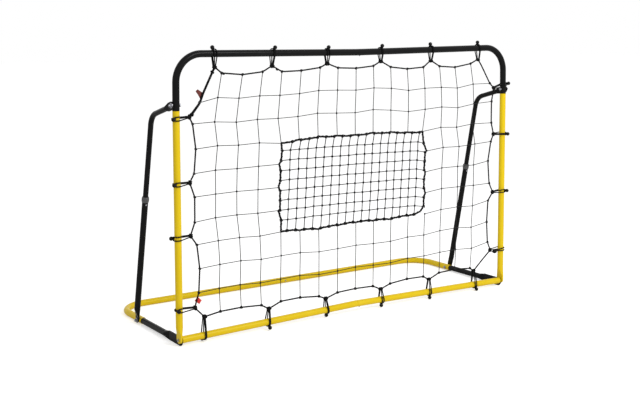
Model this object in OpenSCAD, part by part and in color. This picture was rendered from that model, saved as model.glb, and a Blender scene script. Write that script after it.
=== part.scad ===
// Free-standing rebound net for ball practice: a steel-tube frame that holds a tensioned net
// upright, on a tube base, with a telescopic strut on each side that sets the frame's lean.
// The net stands in the XZ plane, the base runs back along +Y, and the floor is z = 0.

/* [Front frame] */
// Width across the outer sides of the two posts
overall_w = 1840; // [1700:10:2000]
// Height of the top bar above the floor, at the corners
overall_h = 1230; // [1210:5:1260]
// Outside diameter of the posts, the hoop, the bottom bar and the base's rear tubes
frame_tube_d = 30; // [29.5:0.5:30.5]
// Bend radius of the hoop's corners, at the centre of the tube
hoop_bend_r = 115; // [90:5:140]
// Height of the joint between post and hoop above the bottom bar's axis
post_joint_rise = 957; // [940:1:962]
// How far the pull of the net bows the middle of the top bar down
top_bow = 8; // [2:1:12]
// How far the pull of the net bows the middle of the bottom bar up
bottom_bow = 17; // [4:1:20]

/* [Base] */
// Distance from the posts' axis back to the rear bar's axis
base_depth = 665; // [620:5:720]
// Outside diameter of the base's side tubes and the lower strut tubes
base_tube_d = 27; // [26.8:0.1:27.2]
// Bend radius of the rear corners, at the centre of the tube
rear_bend_r = 130; // [90:5:140]
// Distance from the posts' axis back to the joint of side tube and rear tube
side_joint_y = 380; // [370:1:385]
// Height of the pressed-flat front end of each side tube
plate_h = 40; // [38:1:42]
// Height of the bottom bar's axis, and so of the frame's pivot, above the floor
pivot_z = 27; // [27:1:30]

/* [Struts] */
// Height of the strut's upper bolt above the pivot
strut_top_rise = 980; // [975:1:985]
// Distance from the posts' axis back to the strut's foot bolt
foot_y = 406; // [402:1:410]
// Downward slope of the strut's upper arm, in degrees
arm_drop = 15; // [14:0.5:16]
// Lean of the strut's leg from the vertical, in degrees
leg_lean = 12; // [11.5:0.5:12.5]
// Outside diameter of the sliding upper strut tube
strut_tube_d = 23.5; // [23:0.1:23.6]
// Distance along the leg from the arm's bend to the lock collar
collar_at = 324; // [300:1:340]

/* [Net] */
// Mesh of the main net
mesh = 100; // [98:1:101]
// Diameter of the net's cord
cord_d = 2.8; // [1.6:0.1:3]
// Diameter of the edge rope
rope_d = 7; // [5:0.5:8]
// Diameter of the target's border rope with the cord that is wound round it
border_d = 8; // [6:0.5:9]
// Diameter of the elastic loops
elastic_d = 4.6; // [4:0.1:5]
// Diameter of the balls on the loops
ball_d = 18; // [16:1:20]

/* [Hidden] */
$fn = 48;
hull_fn = 32;

tube_wall = 1.5;
frame_r = frame_tube_d / 2;
base_r = base_tube_d / 2;
strut_r = strut_tube_d / 2;
slip = 0.25;
gap = 0.3;
cut = 1;
post_x = overall_w / 2 - frame_r;
top_z = overall_h - frame_r;
joint_z = pivot_z + post_joint_rise;
strut_top_z = pivot_z + strut_top_rise;

// Swaged ends: one tube's end is drawn down to plug into the next
plug_len = 50;
plug_root = 10;
plug_step = 6;
frame_plug_r = frame_r - tube_wall - slip;
frame_plug_bore = frame_plug_r - tube_wall;

// Hoop halves: each is bent square and turned a little on the post's plug, down to the middle
top_tilt = atan2(top_bow, post_x - hoop_bend_r);
bend_z = round(top_z - hoop_bend_r * (1 - tan(top_tilt)));
turn_z = joint_z + plug_len / 2;
turn_rise = bend_z + hoop_bend_r - turn_z;
top_run = round((post_x - turn_rise * sin(top_tilt)) / cos(top_tilt) - hoop_bend_r);
top_mid_z = turn_z + turn_rise * cos(top_tilt) - (top_run + hoop_bend_r) * sin(top_tilt);

// A pressed-flat end's taper starts inside the flat, clear of its faces, and ends in a low lip
taper_inset = 0.3;
taper_bite = 4;
taper_lip = 0.35;

// Post's flattened foot, side tube's flattened front end and the bar's end lie side by side
tongue_t = 8;
tongue_w = 40;
tongue_rise = 6;
tongue_top = 30;
taper_top = 55;
plate_t = 5;
plate_x = post_x - tongue_t / 2 - gap - plate_t / 2;
plate_y = 8;
plate_back = 110;
plate_taper = 145;
bar_end_x = plate_x - plate_t / 2 - 2 * gap;
bottom_tilt = atan2(bottom_bow, bar_end_x);
bottom_run = bar_end_x / cos(bottom_tilt);
bottom_mid_z = pivot_z + bottom_bow;

// Base: the side tubes fall from the flattened ends to the rear bar, which lies on the floor
base_slope = asin((plate_h / 2 - frame_r) / base_depth);
foot_z = plate_h / 2 - foot_y * tan(base_slope);

// Fasteners
bolt_r = 4;
bolt_hole_r = 4.1;
foot_hole_r = 6.6;
insert_len = 25;
insert_hole_r = 4.05;
head_r = 7;
head_h = 4.2;
nut_r = 7.4;
nut_h = 6.5;
washer_r = 11;
washer_t = 1.6;
bolt_end = 3.5;

// Strut, drawn in its own plane outside the posts
flat_t = 5;
flat_r = 18;
flat_end = 11;
top_flat_x = post_x + frame_r + gap + flat_t / 2;
foot_flat_x = plate_x + frame_r + gap + flat_t / 2;
strut_x = (top_flat_x + foot_flat_x) / 2;
strut_bend_r = 70;
strut_turn = 90 - arm_drop - leg_lean;
strut_tangent = strut_bend_r * tan(strut_turn / 2);
fall = strut_top_z - foot_z;
leg_whole = (fall - foot_y * tan(arm_drop)) / (cos(leg_lean) - sin(leg_lean) * tan(arm_drop));
arm_whole = (foot_y - leg_whole * sin(leg_lean)) / cos(arm_drop);
arm_run = arm_whole - strut_tangent;
leg_run = leg_whole - strut_tangent;
flat_len = 34;
flat_taper = 62;
bend_skin = 0.25;
foot_flat_len = 22;
foot_flat_taper = 56;
foot_end_r = 12;
inner_overlap = 170;
collar_len = 24;
collar_r = 15.3;
collar_mouth = 13;
collar_slip = 0.1;
collar_ribs = 12;
rib_r = 1;
lower_top = collar_at + collar_mouth + 1;
rivet_at = collar_at + collar_len + 10;
rivet_r = 2.4;
rivet_head_r = 4;

// Snap buttons at the three middle joints
button_from_seam = 16;
button_r = 3.6;
button_hole_r = 3.8;
button_proud = 3;
button_flange_r = 4.8;
button_flange_t = 1.2;
seat_depth = 2.75;
spring_w = 7;
spring_t = 0.8;
spring_len = 34;

// Net: strands count from the middle, heights are above the pivot
strands_across = 7;
rows_up = 9;
net_low = 197;
target_cols = 4;
target_low_row = 2;
target_high_row = 6;
target_half_w = target_cols * mesh;
target_low = net_low + target_low_row * mesh;
target_high = net_low + target_high_row * mesh;
fine_cols = 18;
fine_rows = 9;
border_tug = 4;
net_clip = 1200;

// Knots of the elastic loops on the edge rope, as points in the net's plane
top_knots = [[-727, 1133], [-448, 1130], [-162, 1133], [136, 1137], [434, 1134], [735, 1133]];
bottom_knots = [[-788, 81], [-472, 66], [-172, 66], [140, 64], [433, 69], [722, 72]];
left_knots = [[-833, 127], [-848, 434], [-848, 657], [-847, 930]];
right_knots = [[834, 165], [845, 461], [845, 755], [843, 987]];
corner_bends = [[781, 122], [816, 1012], [-795, 986]];
// Between two knots the strands pull the rope inwards
top_dip = 29;
bottom_dip = 17;
side_dip = 27;
dip_shape = [[0.25, 0.85], [0.5, 1], [0.75, 0.85]];
// How far each loop has slid along its tube from its knot, to the right or up
top_slides = [-1.5, 5, -1.5, 0.5, 3.5, -1.5];
bottom_slides = [-2, -4.5, 5, 3, -1, 3.5];
left_slides = [1.5, -3.5, -2, -5];
right_slides = [0, 3, -1, 16];
// Where each ball sits round its tube, in degrees from straight outwards towards the front
top_ball_turn = [-26, 31, 33, 23, -20, -4];
bottom_ball_turn = [-47, 40, -14, 1, 22, 45];
left_ball_turn = [63, -36, 40, 42];
right_ball_turn = [0, 55, 55, 40];
// The right post's lowest ball hangs on the loop's legs instead, as a point in the loop's frame
leg_ball = [-45, 3, -9];
elastic_r = elastic_d / 2;
ball_r = ball_d / 2;
ring_r = frame_r + elastic_r + 0.1;
ball_ring_r = ring_r + elastic_r + ball_r - 0.3;
ball_turns = concat(top_ball_turn, bottom_ball_turn, left_ball_turn, right_ball_turn);
ball_front = ball_ring_r * max([for (turn = ball_turns) sin(turn)]) + ball_r;

// The whole stands centred over the origin
centre_y = -(base_depth + frame_r - ball_front) / 2;

yellow = "#e6b81e";
black = "#1d1d1f";
zinc = "#b9bcc0";
grey = "#6d6f72";
cord_colour = "#3a3a3c";
red = "#c8262b";

module placed() {
    translate([0, centre_y, 0]) children();
}

module on_left() {
    mirror([1, 0, 0]) children();
}

module on_both() {
    children();
    on_left() children();
}

// Draws its children in a plane of constant x: their x runs back, their y runs up
module side_plane(x) {
    translate([x, 0, 0]) rotate([90, 0, 90]) children();
}

module ring(outer_r, inner_r, length) {
    difference() {
        cylinder(r = outer_r, h = length);
        translate([0, 0, -cut]) cylinder(r = inner_r, h = length + 2 * cut);
    }
}

// Swaged end of a tube, along +Z from the seam, with the step that joins it to its own tube
module plug(plug_r, step_r) {
    translate([0, 0, -plug_root]) ring(plug_r, plug_r - tube_wall, plug_root + plug_len);
    translate([0, 0, -plug_root]) ring(step_r, plug_r - tube_wall, plug_step);
}

module cross_hole(y, z, r) {
    translate([post_x - 60, y, z]) rotate([0, 90, 0]) cylinder(r = r, h = 120);
}

// ---- Base ----

module base_plane() {
    translate([0, 0, plate_h / 2]) rotate([-base_slope, 0, 0]) children();
}

module side_plate() {
    side_plane(plate_x - plate_t / 2) linear_extrude(plate_t) {
        translate([plate_y, plate_h / 2]) circle(d = plate_h);
        translate([plate_y, 0]) square([plate_back - plate_y, plate_h]);
    }
}

module side_tube() {
    color(black) placed() difference() {
        union() {
            side_plate();
            hull() {
                translate([plate_x - plate_t / 2 + taper_inset, plate_back - taper_bite, taper_inset])
                    cube([plate_t - 2 * taper_inset, cut, plate_h - 2 * taper_inset]);
                base_plane() translate([plate_x, plate_taper, 0]) rotate([-90, 0, 0])
                    cylinder(r = base_r + taper_lip, h = cut, $fn = hull_fn);
            }
            base_plane() translate([plate_x, plate_taper, 0]) rotate([-90, 0, 0])
                ring(base_r, base_r - tube_wall, side_joint_y - plate_taper - gap);
            base_plane() translate([plate_x, side_joint_y - gap, 0]) rotate([-90, 0, 0])
                plug(frame_plug_r, base_r - tube_wall / 2);
        }
        cross_hole(0, pivot_z, bolt_hole_r);
        cross_hole(foot_y, foot_z, bolt_hole_r);
    }
}

module side_tube_left() {
    on_left() side_tube();
}

module side_tube_right() {
    side_tube();
}

module rear_path(r, over) {
    side_run = base_depth - rear_bend_r - side_joint_y;
    translate([plate_x, side_joint_y - over, 0]) rotate([-90, 0, 0]) cylinder(r = r, h = side_run + over);
    translate([plate_x - rear_bend_r, base_depth - rear_bend_r, 0])
        rotate_extrude(angle = 90) translate([rear_bend_r, 0]) circle(r = r);
    translate([plate_x - rear_bend_r, base_depth, 0]) rotate([0, -90, 0])
        cylinder(r = r, h = plate_x - rear_bend_r - gap + over);
}

module rear_tube(with_plug) {
    color(yellow) placed() difference() {
        union() {
            base_plane() difference() {
                rear_path(frame_r, 0);
                rear_path(frame_r - tube_wall, cut);
            }
            if (with_plug)
                base_plane() translate([0, base_depth, 0]) rotate([0, -90, 0])
                    plug(frame_plug_r, frame_r - tube_wall / 2);
        }
        cross_hole(foot_y, foot_z, bolt_hole_r);
        if (with_plug)
            at_rear_button(true) cylinder(r = button_hole_r, h = frame_r + cut);
        else
            at_rear_button(false) cylinder(r = button_hole_r, h = frame_r + cut);
    }
}

// The rear button looks forwards; the left rear tube is drawn mirrored, so its plug is too
module at_rear_button(mirrored) {
    side = mirrored ? -1 : 1;
    base_plane() translate([side * button_from_seam, base_depth, 0]) rotate([90, 0, 0]) children();
}

module rear_tube_left() {
    on_left() rear_tube(true);
}

module rear_tube_right() {
    rear_tube(false);
}

// ---- Fasteners ----

module hex_nut(inner_r) {
    difference() {
        cylinder(r = nut_r, h = nut_h, $fn = 6);
        translate([0, 0, -cut]) cylinder(r = inner_r, h = nut_h + 2 * cut);
    }
}

// Low round head with a hexagon socket, then the shank along +Z
module socket_bolt(length) {
    difference() {
        union() {
            translate([0, 0, -head_h]) cylinder(r = head_r, h = head_h);
            cylinder(r = bolt_r, h = length);
        }
        translate([0, 0, -head_h - cut]) cylinder(r = bolt_r * 0.7, h = head_h, $fn = 6);
    }
}

module foot_bolts() {
    start = plate_x - frame_r - gap;
    finish = foot_flat_x + flat_t / 2 + gap + washer_t + nut_h + bolt_end;
    color(zinc) placed() on_both() translate([start, foot_y, foot_z]) rotate([0, 90, 0])
        socket_bolt(finish - start);
}

module foot_washers() {
    color(zinc) placed() on_both()
        translate([foot_flat_x + flat_t / 2 + gap, foot_y, foot_z]) rotate([0, 90, 0])
            ring(washer_r, insert_hole_r, washer_t);
}

module foot_nuts() {
    color(zinc) placed() on_both()
        translate([foot_flat_x + flat_t / 2 + gap + washer_t, foot_y, foot_z]) rotate([0, 90, 0])
            hex_nut(insert_hole_r);
}

module corner_bolts() {
    start = post_x + tongue_t / 2 + gap / 2;
    color(zinc) placed() on_both() translate([start, 0, pivot_z]) rotate([0, -90, 0])
        socket_bolt(start - bar_end_x + insert_len);
}

module bar_end_inserts() {
    color(zinc) placed() on_both() difference() {
        translate([bar_end_x, 0, pivot_z]) rotate([0, -90 + bottom_tilt, 0])
            cylinder(r = frame_r - tube_wall - 0.05, h = insert_len);
        cross_hole(0, pivot_z, insert_hole_r);
    }
}

module strut_top_bolts() {
    start = post_x - frame_r - gap;
    finish = top_flat_x + flat_t / 2 + gap + washer_t + nut_h + bolt_end;
    color(zinc) placed() on_both() translate([start, 0, strut_top_z]) rotate([0, 90, 0])
        socket_bolt(finish - start);
}

module strut_top_washers() {
    color(zinc) placed() on_both()
        translate([top_flat_x + flat_t / 2 + gap, 0, strut_top_z]) rotate([0, 90, 0])
            ring(washer_r, insert_hole_r, washer_t);
}

module strut_top_nuts() {
    color(zinc) placed() on_both()
        translate([top_flat_x + flat_t / 2 + gap + washer_t, 0, strut_top_z]) rotate([0, 90, 0])
            hex_nut(insert_hole_r);
}

// ---- Front frame ----

module post() {
    color(yellow) placed() difference() {
        union() {
            side_plane(post_x - tongue_t / 2) linear_extrude(tongue_t) {
                translate([0, pivot_z + tongue_rise]) circle(d = tongue_w);
                translate([-tongue_w / 2, pivot_z + tongue_rise])
                    square([tongue_w, tongue_top - tongue_rise]);
            }
            hull() {
                translate([post_x - tongue_t / 2 + taper_inset, taper_inset - tongue_w / 2,
                        pivot_z + tongue_top - taper_bite])
                    cube([tongue_t - 2 * taper_inset, tongue_w - 2 * taper_inset, cut]);
                translate([post_x, 0, pivot_z + taper_top])
                    cylinder(r = frame_r + taper_lip, h = cut, $fn = hull_fn);
            }
            translate([post_x, 0, pivot_z + taper_top])
                ring(frame_r, frame_r - tube_wall, post_joint_rise - taper_top - gap);
            translate([post_x, 0, joint_z - gap]) plug(frame_plug_r, frame_r - tube_wall / 2);
        }
        cross_hole(0, pivot_z, bolt_hole_r);
        cross_hole(0, strut_top_z, bolt_hole_r);
    }
}

module post_left() {
    on_left() post();
}

module post_right() {
    post();
}

module hoop_path(r, over) {
    translate([post_x, 0, joint_z - over]) cylinder(r = r, h = bend_z - joint_z + over);
    translate([post_x - hoop_bend_r, 0, bend_z]) rotate([90, 0, 0])
        rotate_extrude(angle = 90) translate([hoop_bend_r, 0]) circle(r = r);
    translate([post_x - hoop_bend_r, 0, bend_z + hoop_bend_r]) rotate([0, -90, 0])
        cylinder(r = r, h = top_run - gap + over);
}

module hoop() {
    difference() {
        translate([post_x, 0, turn_z]) rotate([0, -top_tilt, 0]) translate([-post_x, 0, -turn_z])
            difference() {
                hoop_path(frame_r, 0);
                hoop_path(frame_r - tube_wall, cut);
            }
        cross_hole(0, strut_top_z, bolt_hole_r);
    }
}

// Local +Z runs from the middle seam along the right half; local +X looks down
module at_top_seam() {
    translate([0, 0, top_mid_z]) rotate([0, 90 - top_tilt, 0]) children();
}

module at_bottom_seam() {
    translate([0, 0, bottom_mid_z]) rotate([0, 90 + bottom_tilt, 0]) children();
}

// Button frame: local +Z looks out of the tube's underside, local +X runs along the tube
module under_button() {
    translate([0, 0, button_from_seam]) rotate([0, 90, 0]) rotate([0, 0, 180]) children();
}

module top_hoop_left() {
    color(black) placed() difference() {
        union() {
            on_left() hoop();
            at_top_seam() plug(frame_plug_r, frame_r - tube_wall / 2);
        }
        at_top_seam() under_button() cylinder(r = button_hole_r, h = frame_r + cut);
    }
}

module top_hoop_right() {
    color(black) placed() difference() {
        hoop();
        at_top_seam() under_button() cylinder(r = button_hole_r, h = frame_r + cut);
    }
}

module bar_half() {
    translate([bar_end_x, 0, pivot_z]) rotate([0, -90 + bottom_tilt, 0])
        ring(frame_r, frame_r - tube_wall, bottom_run - gap);
}

module bottom_bar_left() {
    color(yellow) placed() difference() {
        union() {
            on_left() bar_half();
            at_bottom_seam() plug(frame_plug_r, frame_r - tube_wall / 2);
        }
        at_bottom_seam() under_button() cylinder(r = button_hole_r, h = frame_r + cut);
    }
}

module bottom_bar_right() {
    color(yellow) placed() difference() {
        bar_half();
        at_bottom_seam() under_button() cylinder(r = button_hole_r, h = frame_r + cut);
    }
}

// ---- Snap buttons and their leaf springs ----

module snap_button(tube_r, bore) {
    crown = 1;
    seat = bore - seat_depth;
    translate([0, 0, seat]) cylinder(r = button_flange_r, h = button_flange_t);
    translate([0, 0, seat]) cylinder(r = button_r, h = tube_r + button_proud - crown - seat);
    translate([0, 0, tube_r + button_proud - crown]) cylinder(r1 = button_r, r2 = button_r - crown, h = crown);
}

// A leaf bent into a V inside the plug: one end under the button, the other on the far wall
module snap_spring(bore) {
    fold = -spring_len;
    high = bore - seat_depth - gap;
    low = -bore + spring_t + gap;
    translate([0, spring_w / 2, 0]) rotate([90, 0, 0]) linear_extrude(spring_w)
        polygon([[4, high], [4, high - spring_t], [fold + 3, -0.5], [2, low + spring_t], [2, low],
            [fold, -1.5], [fold, 0.6]]);
}

module top_joint_button() {
    color(zinc) placed() at_top_seam() under_button() snap_button(frame_r, frame_plug_bore);
}

module bottom_joint_button() {
    color(zinc) placed() at_bottom_seam() under_button() snap_button(frame_r, frame_plug_bore);
}

module rear_joint_button() {
    color(zinc) placed() at_rear_button(false) snap_button(frame_r, frame_plug_bore);
}

module top_joint_spring() {
    color(zinc) placed() at_top_seam() under_button() snap_spring(frame_plug_bore);
}

module bottom_joint_spring() {
    color(zinc) placed() at_bottom_seam() under_button() snap_spring(frame_plug_bore);
}

module rear_joint_spring() {
    color(zinc) placed() at_rear_button(false) snap_spring(frame_plug_bore);
}

// ---- Struts ----

// Local +X runs along the arm from the upper bolt, local +Z is the row's +X
module along_arm() {
    side_plane(strut_x) translate([0, strut_top_z, 0]) rotate([0, 0, -arm_drop]) children();
}

// Local +X runs down the leg from the end of the bend
module along_leg() {
    along_arm() translate([arm_run, -strut_bend_r, 0]) rotate([0, 0, -strut_turn])
        translate([0, strut_bend_r, 0]) children();
}

module lengthwise() {
    rotate([0, 90, 0]) children();
}

// The bend is a little thicker than the straight runs, which reach into it
module strut_upper_tube() {
    along_arm() translate([flat_taper, 0, 0]) lengthwise()
        ring(strut_r, strut_r - tube_wall, arm_run - flat_taper + cut);
    along_arm() translate([arm_run, -strut_bend_r, 0]) rotate([0, 0, 90 - strut_turn])
        rotate_extrude(angle = strut_turn) translate([strut_bend_r, 0]) difference() {
            circle(r = strut_r + bend_skin);
            circle(r = strut_r - tube_wall - bend_skin);
        }
    along_leg() translate([-cut, 0, 0]) lengthwise()
        ring(strut_r, strut_r - tube_wall, lower_top + inner_overlap + cut);
}

module strut_upper() {
    flat_low = top_flat_x - strut_x - flat_t / 2;
    color(black) placed() difference() {
        union() {
            along_arm() translate([0, 0, flat_low]) linear_extrude(flat_t) {
                translate([flat_r - flat_end, 0]) circle(r = flat_r);
                translate([flat_r - flat_end, -flat_r])
                    square([flat_len - flat_r + flat_end, 2 * flat_r]);
            }
            hull() {
                along_arm() translate([flat_len - taper_bite, taper_inset - flat_r, flat_low + taper_inset])
                    cube([cut, 2 * (flat_r - taper_inset), flat_t - 2 * taper_inset]);
                along_arm() translate([flat_taper, 0, 0]) lengthwise()
                    cylinder(r = strut_r + taper_lip, h = cut, $fn = hull_fn);
            }
            strut_upper_tube();
        }
        cross_hole(0, strut_top_z, bolt_hole_r);
    }
}

module strut_upper_left() {
    on_left() strut_upper();
}

module strut_upper_right() {
    strut_upper();
}

module strut_foot() {
    half_w = flat_r - 1;
    translate([leg_run, 0, foot_flat_x - strut_x - flat_t / 2]) {
        cylinder(r = foot_end_r, h = flat_t);
        linear_extrude(flat_t)
            polygon([[-foot_flat_len, -half_w], [0, -foot_end_r], [0, foot_end_r], [-foot_flat_len, half_w]]);
    }
    hull() {
        translate([leg_run - foot_flat_len + taper_bite, taper_inset * 4 - half_w,
                foot_flat_x - strut_x - flat_t / 2 + taper_inset])
            cube([cut, 2 * half_w - taper_inset * 8, flat_t - 2 * taper_inset]);
        translate([leg_run - foot_flat_taper, 0, 0]) lengthwise()
            cylinder(r = base_r + taper_lip, h = cut, $fn = hull_fn);
    }
}

module strut_lower() {
    color(black) placed() difference() {
        along_leg() {
            translate([lower_top, 0, 0]) lengthwise()
                ring(base_r, base_r - tube_wall, leg_run - foot_flat_taper - lower_top + cut);
            strut_foot();
        }
        cross_hole(foot_y, foot_z, foot_hole_r);
        along_leg() translate([rivet_at, 0, 0]) rotate([90, 0, 0]) cylinder(r = rivet_r + 0.05, h = base_r + cut);
    }
}

module strut_lower_left() {
    on_left() strut_lower();
}

module strut_lower_right() {
    strut_lower();
}

// Twist-lock collar: its neck rides on the upper tube, its skirt on the lower tube's end
module lock_collar() {
    color(grey) placed() along_leg() translate([collar_at, 0, 0]) lengthwise() difference() {
        union() {
            cylinder(r1 = collar_r - 1.5, r2 = collar_r, h = 2);
            translate([0, 0, 2]) cylinder(r = collar_r, h = collar_len - 2);
            for (i = [0 : collar_ribs - 1])
                rotate([0, 0, i * 360 / collar_ribs]) translate([collar_r, 0, 5])
                    cylinder(r = rib_r, h = collar_len - 9);
        }
        translate([0, 0, -cut]) cylinder(r = strut_r + collar_slip, h = collar_len + 2 * cut);
        translate([0, 0, collar_mouth]) cylinder(r = base_r + collar_slip, h = collar_len);
    }
}

module lock_collar_left() {
    on_left() lock_collar();
}

module lock_collar_right() {
    lock_collar();
}

module collar_rivet() {
    seat = strut_r + 0.3;
    color(zinc) placed() along_leg() translate([rivet_at, 0, 0]) rotate([90, 0, 0]) {
        translate([0, 0, seat]) cylinder(r = rivet_r, h = base_r + 1 - seat);
        translate([0, 0, base_r + 0.1]) cylinder(r1 = rivet_head_r, r2 = rivet_head_r - 1.4, h = 1.6);
    }
}

module collar_rivet_left() {
    on_left() collar_rivet();
}

module collar_rivet_right() {
    collar_rivet();
}

// ---- Net ----

// Flat work in the net's plane: x runs across, y runs up from the pivot
module net_plane(thickness) {
    placed() translate([0, 0, pivot_z]) rotate([90, 0, 0])
        translate([0, 0, -thickness / 2]) linear_extrude(thickness) children();
}

function row_z(row) = net_low + row * mesh;

// The rope's points along one edge, with the pull of the strands between each two knots
function rope_run(knots, pull) = [for (i = [0 : len(knots) - 1]) each concat([knots[i]],
    i == len(knots) - 1 ? [] : [for (d = dip_shape)
        knots[i] * (1 - d[0]) + knots[i + 1] * d[0] + pull * d[1]])];
function reversed(list) = [for (i = [len(list) - 1 : -1 : 0]) list[i]];

rope_points = concat(
    rope_run(bottom_knots, [0, bottom_dip]), [corner_bends[0]],
    rope_run(right_knots, [-side_dip, 0]), [corner_bends[1]],
    reversed(rope_run(top_knots, [0, -top_dip])), [corner_bends[2]],
    reversed(rope_run(left_knots, [side_dip, 0])));

// A closed band of even width along a loop of points
module closed_band(points, width) {
    n = len(points);
    side = [for (i = [0 : n - 1])
        let (a = points[(i + n - 1) % n], b = points[(i + 1) % n], d = b - a)
            [d[1], -d[0]] / norm(d) * width / 2];
    difference() {
        polygon([for (i = [0 : n - 1]) points[i] + side[i]]);
        polygon([for (i = [0 : n - 1]) points[i] - side[i]]);
    }
}

module edge_rope() {
    color(black) net_plane(rope_d) closed_band(rope_points, rope_d);
}

module strand_up(x, low, high) {
    translate([x - cord_d / 2, low]) square([cord_d, high - low]);
}

module strand_across(z, left, right) {
    translate([left, z - cord_d / 2]) square([right - left, cord_d]);
}

// Strands end at the middle of the edge rope
module within_rope() {
    intersection() {
        children();
        polygon(rope_points);
    }
}

module net_top_band() {
    color(cord_colour) net_plane(cord_d) within_rope() {
        for (i = [-strands_across : strands_across])
            strand_up(i * mesh, target_high, net_clip);
        for (row = [target_high_row : rows_up - 1])
            strand_across(row_z(row), -net_clip, net_clip);
    }
}

module net_bottom_band() {
    color(cord_colour) net_plane(cord_d) within_rope() {
        for (i = [-strands_across : strands_across])
            strand_up(i * mesh, 0, target_low);
        for (row = [0 : target_low_row])
            strand_across(row_z(row), -net_clip, net_clip);
    }
}

module side_band() {
    within_rope() {
        for (i = [target_cols + 1 : strands_across])
            strand_up(i * mesh, target_low + cord_d / 2, target_high - cord_d / 2);
        for (row = [target_low_row + 1 : target_high_row - 1])
            strand_across(row_z(row), target_half_w + border_d / 2, net_clip);
    }
}

module net_left_band() {
    color(cord_colour) net_plane(cord_d) mirror([1, 0]) side_band();
}

module net_right_band() {
    color(cord_colour) net_plane(cord_d) side_band();
}

// The border is tugged outwards wherever a strand of the main net is tied to it
border_points = concat(
    [for (i = [-target_cols * 2 : target_cols * 2 - 1])
        [i * mesh / 2, target_low - (i % 2 == 0 ? border_tug : 0)]],
    [for (i = [0 : 7]) [target_half_w + (i % 2 == 0 ? border_tug : 0), target_low + i * mesh / 2]],
    [for (i = [target_cols * 2 : -1 : -target_cols * 2 + 1])
        [i * mesh / 2, target_high + (i % 2 == 0 ? border_tug : 0)]],
    [for (i = [8 : -1 : 1]) [-target_half_w - (i % 2 == 0 ? border_tug : 0), target_low + i * mesh / 2]]);

module target_border() {
    color(black) net_plane(border_d) closed_band(border_points, border_d);
}

module target_net() {
    fine_x = 2 * target_half_w / fine_cols;
    fine_z = (target_high - target_low) / fine_rows;
    color(cord_colour) net_plane(cord_d) {
        for (i = [1 : fine_cols - 1])
            strand_up(-target_half_w + i * fine_x, target_low, target_high);
        for (row = [1 : fine_rows - 1])
            strand_across(target_low + row * fine_z, -target_half_w, target_half_w);
    }
}

// Cloth tags folded over the edge rope at the left end of the net
module net_tags() {
    tag_w = 15;
    tag_t = 1.2;
    color(red) net_plane(tag_t) {
        translate([-784, 1009]) rotate(124) translate([0, -tag_w / 2]) square([41, tag_w]);
        translate([-823, 160]) rotate(-43) translate([0, -tag_w / 2]) square([22, tag_w]);
    }
}

// ---- Elastic loops ----
// Loop frame: the tube's axis is local Z, local +X points outwards from the net, and
// local +Y points to the front

module in_loop_plane(reach, slide) {
    translate([0, 0, slide]) rotate([0, -atan2(slide, reach), 0]) children();
}

module elastic_loop(reach, slide) {
    slant = norm([reach, slide]);
    loop_r = ring_r * slant / reach;
    hold = acos(loop_r / slant);
    strand = sqrt(slant * slant - loop_r * loop_r);
    in_loop_plane(reach, slide) {
        rotate([0, 0, -180 + hold]) rotate_extrude(angle = 360 - 2 * hold) translate([loop_r, 0])
            circle(r = elastic_r);
        for (side = [-1, 1])
            rotate([0, 0, 180 + side * hold]) translate([loop_r, 0, 0]) rotate([side * 90, 0, 0])
                cylinder(r = elastic_r, h = strand);
    }
}

module loop_ball(reach, slide, turn) {
    in_loop_plane(reach, slide) rotate([0, 0, turn]) translate([ball_ring_r, 0, 0]) sphere(r = ball_r);
}

function top_bar_z(x) = top_mid_z + abs(x) * tan(top_tilt);
function bottom_bar_z(x) = bottom_mid_z - abs(x) * tan(bottom_tilt);
function top_reach(knot) = top_bar_z(knot[0]) - pivot_z - knot[1];
function bottom_reach(knot) = pivot_z + knot[1] - bottom_bar_z(knot[0]);
function side_reach(knot) = post_x - abs(knot[0]);

module on_top_bar(x) {
    tilt = x < 0 ? top_tilt : -top_tilt;
    translate([x, 0, top_bar_z(x)]) rotate([0, tilt - 90, 0]) rotate([180, 0, 0]) children();
}

module on_bottom_bar(x) {
    tilt = x < 0 ? -bottom_tilt : bottom_tilt;
    translate([x, 0, bottom_bar_z(x)]) rotate([0, tilt + 90, 0]) mirror([0, 1, 0]) children();
}

module on_right_post(z) {
    translate([post_x, 0, pivot_z + z]) mirror([0, 1, 0]) children();
}

module loops_top() {
    color(black) placed() for (i = [0 : len(top_knots) - 1])
        on_top_bar(top_knots[i][0]) elastic_loop(top_reach(top_knots[i]), top_slides[i]);
}

module balls_top() {
    color(black) placed() for (i = [0 : len(top_knots) - 1])
        on_top_bar(top_knots[i][0]) loop_ball(top_reach(top_knots[i]), top_slides[i], top_ball_turn[i]);
}

module loops_bottom() {
    color(black) placed() for (i = [0 : len(bottom_knots) - 1])
        on_bottom_bar(bottom_knots[i][0]) elastic_loop(bottom_reach(bottom_knots[i]), bottom_slides[i]);
}

module balls_bottom() {
    color(black) placed() for (i = [0 : len(bottom_knots) - 1])
        on_bottom_bar(bottom_knots[i][0])
            loop_ball(bottom_reach(bottom_knots[i]), bottom_slides[i], bottom_ball_turn[i]);
}

module loops_right() {
    color(black) placed() for (i = [0 : len(right_knots) - 1])
        on_right_post(right_knots[i][1]) elastic_loop(side_reach(right_knots[i]), right_slides[i]);
}

module balls_right() {
    color(black) placed() {
        on_right_post(right_knots[0][1]) translate(leg_ball) sphere(r = ball_r);
        for (i = [1 : len(right_knots) - 1])
            on_right_post(right_knots[i][1])
                loop_ball(side_reach(right_knots[i]), right_slides[i], right_ball_turn[i]);
    }
}

module loops_left() {
    color(black) placed() on_left() for (i = [0 : len(left_knots) - 1])
        on_right_post(left_knots[i][1]) elastic_loop(side_reach(left_knots[i]), left_slides[i]);
}

module balls_left() {
    color(black) placed() on_left() for (i = [0 : len(left_knots) - 1])
        on_right_post(left_knots[i][1])
            loop_ball(side_reach(left_knots[i]), left_slides[i], left_ball_turn[i]);
}

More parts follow.
